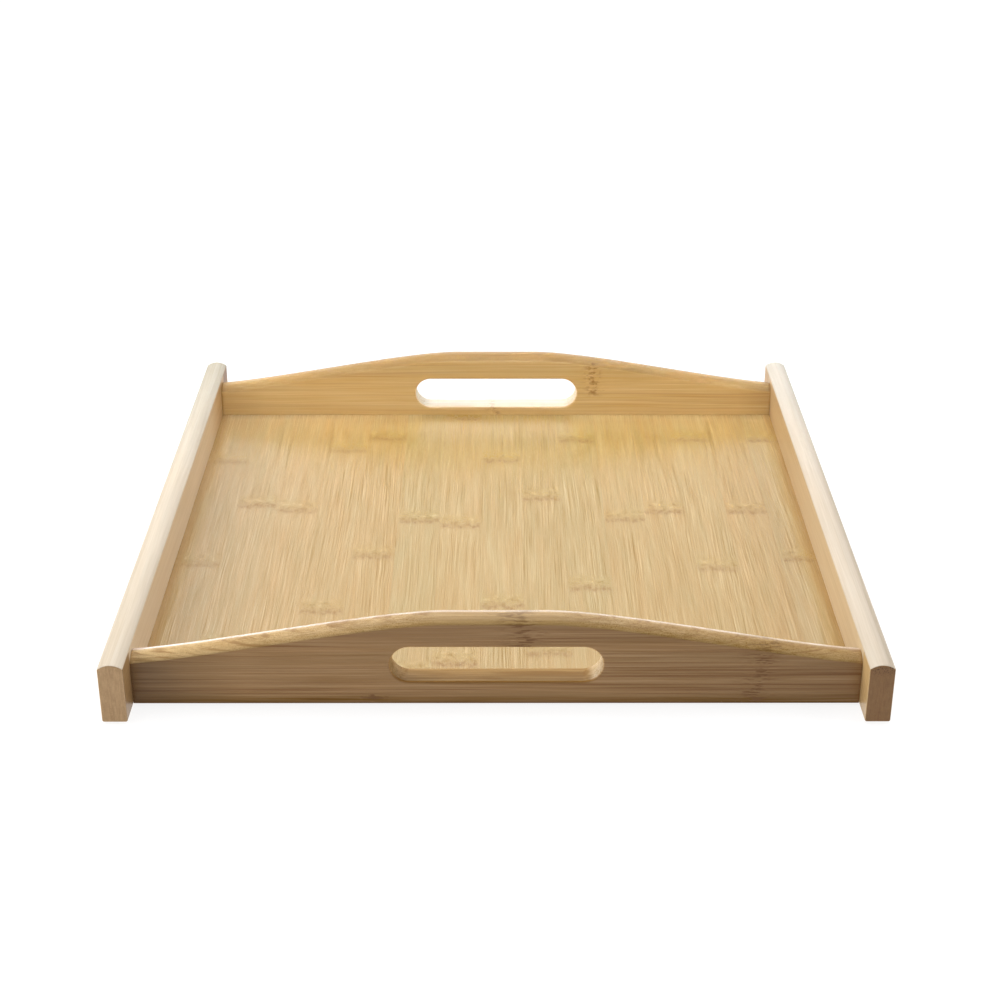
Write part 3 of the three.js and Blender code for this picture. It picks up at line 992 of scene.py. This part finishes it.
def rail_bamboo(name, side, look):
    wood = Bamboo(name, "yxz", side * RAIL_CENTRE, RAIL_THICKNESS / 2, look["seed"])
    wood.sway(lean=0.004, bend=2.0)
    wood.fibres(fine=0.6, fine_tone=0.35, hair_tone=0.3, wide_tone=0.15, drawn=1.5)
    wood.strips(tone=0.03, seam=0.12)
    wood.hues(strip=0.02, patch=0.1)
    wood.clouds(size=40.0, tone=0.1)

    # Where the surface lies: on top, on the inner side or on an end
    y, z = wood.xyz["y"], wood.xyz["z"]
    across, along, up = wood.facing()
    top = wood.rise(up, 0.25, 0.6)
    inward = wood.mul(wood.rise(wood.mul(across, -side), 0.5, 0.9), wood.sub(1.0, top))
    butt = wood.rise(wood.size(along), 0.6, 0.9)

    # Towards the rear the top turns darker and greyer, and the inner side has painted shade, darker
    # and warmer, where it nears the rear board
    darker, greyer = (wood.mul(wood.span(y, 20.0, TRAY_LENGTH / 2, 0.0, share, False), top)
                      for share in look["rear"])
    start, share = look["corner"]
    corner = wood.mul(wood.rise(y, start, BOARD_INNER_Y, share), inward)
    wood.tone = wood.sub(wood.tone, wood.add(darker, corner))
    wood.warm = wood.add(wood.warm, wood.fma(corner, 0.4, wood.mul(greyer, -1.0)))

    # The inner side past the board has a painted shade colour, behind a line along the joint
    past_board = wood.sub(wood.size(y), BOARD_OUTER_Y)
    overhang_shade = wood.mul(wood.rise(past_board, -0.8, 0.4), inward)
    joint = wood.mul(wood.bell(past_board, 1.6), inward)
    wood.stain(wood.mul(joint, 0.6))

    # Cut fibre ends on the butt, with dots near its top
    wood.speckle(butt, tone=0.8, counts=(0.9, 0.9, 0.12))
    high = wood.mul(butt, wood.rise(z, RAIL_SHOULDER - 5.0, RAIL_SHOULDER - 1.0))
    wood.speckle(wood.mul(high, look["dots"]), tone=0.9, dark=1.3, counts=(1.5, 1.5, 1.5))
    sides = wood.mix(overhang_shade, look["side"], look["overhang_shade"])
    colour = wood.mix(butt, wood.mix(top, sides, look["top"]), look["end"])
    return wood.finish(colour, RAIL_ROUGH, RAIL_GLOSS)


def peg_wood():
    wood = Bamboo("peg wood", "xyz", 0.0, PEG_STRIP, seed=51.0)
    wood.fibres(fine=1.0, fine_tone=0.3, hair_tone=0.3, wide_tone=0.1)
    return wood.finish(PEG_COLOUR, PEG_ROUGH, PEG_GLOSS)


panel_paint = panel_bamboo()
board_paints = {
    "front": board_bamboo("front board bamboo", FRONT_BOARD),
    "rear": board_bamboo("rear board bamboo", REAR_BOARD),
}
rail_paints = {
    "left": rail_bamboo("left rail bamboo", -1, LEFT_RAIL),
    "right": rail_bamboo("right rail bamboo", 1, RIGHT_RAIL),
}
peg_paint = peg_wood()


# Pieces

def dress(piece, material):
    piece.data.materials.clear()
    piece.data.materials.append(material)


for side_name, side in (("left", -1), ("right", 1)):
    rail = make_rail(f"{side_name}_rail_finished", side)
    dress(rail, rail_paints[side_name])
    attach(rail, "root")
    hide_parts(f"{side_name}_rail")

for row_name, side in (("front", -1), ("rear", 1)):
    board = make_board(f"{row_name}_handle_board_finished", side)
    dress(board, board_paints[row_name])
    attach(board, "root")
    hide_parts(f"{row_name}_handle_board")

for node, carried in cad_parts.items():
    if node == "bottom_panel":
        for slot in carried.material_slots:
            slot.material = panel_paint
    elif "dowel" in node:
        for slot in carried.material_slots:
            slot.material = peg_paint


# Floor, see-through from below so that the tray's underside can be looked at

FLOOR_SIZE = 12.0
FLOOR_GLOW = 0.84
FLOOR_GREY = (0.2, 0.2, 0.2, 1)
FLOOR_ROUGH = 0.9
FLOOR_BELOW = 0.0004
WHITE = (1, 1, 1, 1)

floor_mesh = bpy.data.meshes.new("floor")
reach = FLOOR_SIZE / 2
corners = [(-reach, -reach, 0), (reach, -reach, 0), (reach, reach, 0), (-reach, reach, 0)]
floor_mesh.from_pydata(corners, [], [(0, 1, 2, 3)])
floor = bpy.data.objects.new("floor", floor_mesh)
floor.location.z = -FLOOR_BELOW
bpy.context.scene.collection.objects.link(floor)
floor_paint = Paint("floor")
floor_paint.shader.inputs["Base Color"].default_value = FLOOR_GREY
floor_paint.shader.inputs["Emission Color"].default_value = WHITE
floor_paint.shader.inputs["Emission Strength"].default_value = FLOOR_GLOW
floor_paint.shader.inputs["Roughness"].default_value = FLOOR_ROUGH
nodes, links = floor_paint.tree.nodes, floor_paint.tree.links
from_below = nodes.new("ShaderNodeMixShader")
side_factor, above_shader, below_shader = from_below.inputs
links.new(nodes.new("ShaderNodeNewGeometry").outputs["Backfacing"], side_factor)
links.new(floor_paint.shader.outputs["BSDF"], above_shader)
links.new(nodes.new("ShaderNodeBsdfTransparent").outputs["BSDF"], below_shader)
links.new(from_below.outputs["Shader"], floor_paint.surface)
dress(floor, floor_paint.material)


# Lights, each with its place, what it looks at, its width and height, all in metres, and its watts

LIGHTS = [
    ("top_softbox", (0, 0.2, 1.3), (0, 0, 0), (1.2, 1.2), 12.7),
    ("high_left_softbox", (-1.2, 0.3, 0.9), (0, 0, 0), (1.0, 1.0), 13.3),
    ("back_softbox", (0.0, 2.6, 1.15), (0, 0, 0.1), (3.6, 1.9), 39.6),
    ("right_softbox", (1.3, 0, 0.8), (0, 0, 0), (1.0, 1.0), 12.6),
    ("front_left_softbox", (-1.55, -0.95, 0.7), (0, 0, 0), (0.8, 0.8), 8.5),
    ("back_high_softbox", (0, 1.5, 1.5), (0, 0, 0), (1.6, 1.0), 6.5),
    ("low_left_softbox", (-1.7, 0.1, 0.55), (0, 0, 0), (1.0, 0.6), 10.5),
    ("narrow_front_strip", (0, -0.95, 0.72), (0, 0.168, 0.03), (0.5, 0.04), 0.085),
]
# Angle in radians to which a light's beam is held, for the one that isn't a softbox
LIGHT_SPREADS = {"narrow_front_strip": 0.16}

for name, place, target, size, power in LIGHTS:
    data = bpy.data.lights.new(name, "AREA")
    data.shape = "RECTANGLE"
    data.size, data.size_y = size
    data.energy = power
    if name in LIGHT_SPREADS:
        data.spread = LIGHT_SPREADS[name]
    light = bpy.data.objects.new(name, data)
    light.location = place
    light.rotation_mode = "QUATERNION"
    light.rotation_quaternion = (Vector(target) - Vector(place)).to_track_quat("-Z", "Y")
    bpy.context.scene.collection.objects.link(light)

# Background behind the floor's edge, as bright as the floor to the camera and giving no light
world = bpy.data.worlds.new("studio")
world.use_nodes = True
sky = world.node_tree.nodes["Background"]
sky.inputs["Color"].default_value = (FLOOR_GLOW, FLOOR_GLOW, FLOOR_GLOW, 1)
seen = world.node_tree.nodes.new("ShaderNodeLightPath").outputs["Is Camera Ray"]
world.node_tree.links.new(seen, sky.inputs["Strength"])
bpy.context.scene.world = world


# Camera, at the photograph's viewing angle: degrees, and millimetres for its place and its lens

PITCH, YAW, ROLL = (math.radians(a) for a in (26.488, 0.162, 0.059))
CAMERA_PLACE = [c * MM for c in (-0.54, -987.1, 518.1)]
FOCAL_LENGTH = 66.375
SENSOR_WIDTH = 36
CLIP_START = 0.05
CLIP_END = 50

forward = Vector((math.sin(YAW) * math.cos(PITCH),
                  math.cos(YAW) * math.cos(PITCH),
                  -math.sin(PITCH)))
level = Vector((math.cos(YAW), -math.sin(YAW), 0))
upward = level.cross(forward)
right = level * math.cos(ROLL) + upward * math.sin(ROLL)
up = upward * math.cos(ROLL) - level * math.sin(ROLL)
camera_data = bpy.data.cameras.new("camera")
camera_data.sensor_width = SENSOR_WIDTH
camera_data.lens = FOCAL_LENGTH
camera_data.clip_start = CLIP_START
camera_data.clip_end = CLIP_END
camera = bpy.data.objects.new("camera", camera_data)
camera.matrix_world = Matrix([*zip(right, up, -forward, CAMERA_PLACE), (0, 0, 0, 1)])
bpy.context.scene.collection.objects.link(camera)
bpy.context.scene.camera = camera
bpy.context.scene.view_settings.view_transform = "Standard"
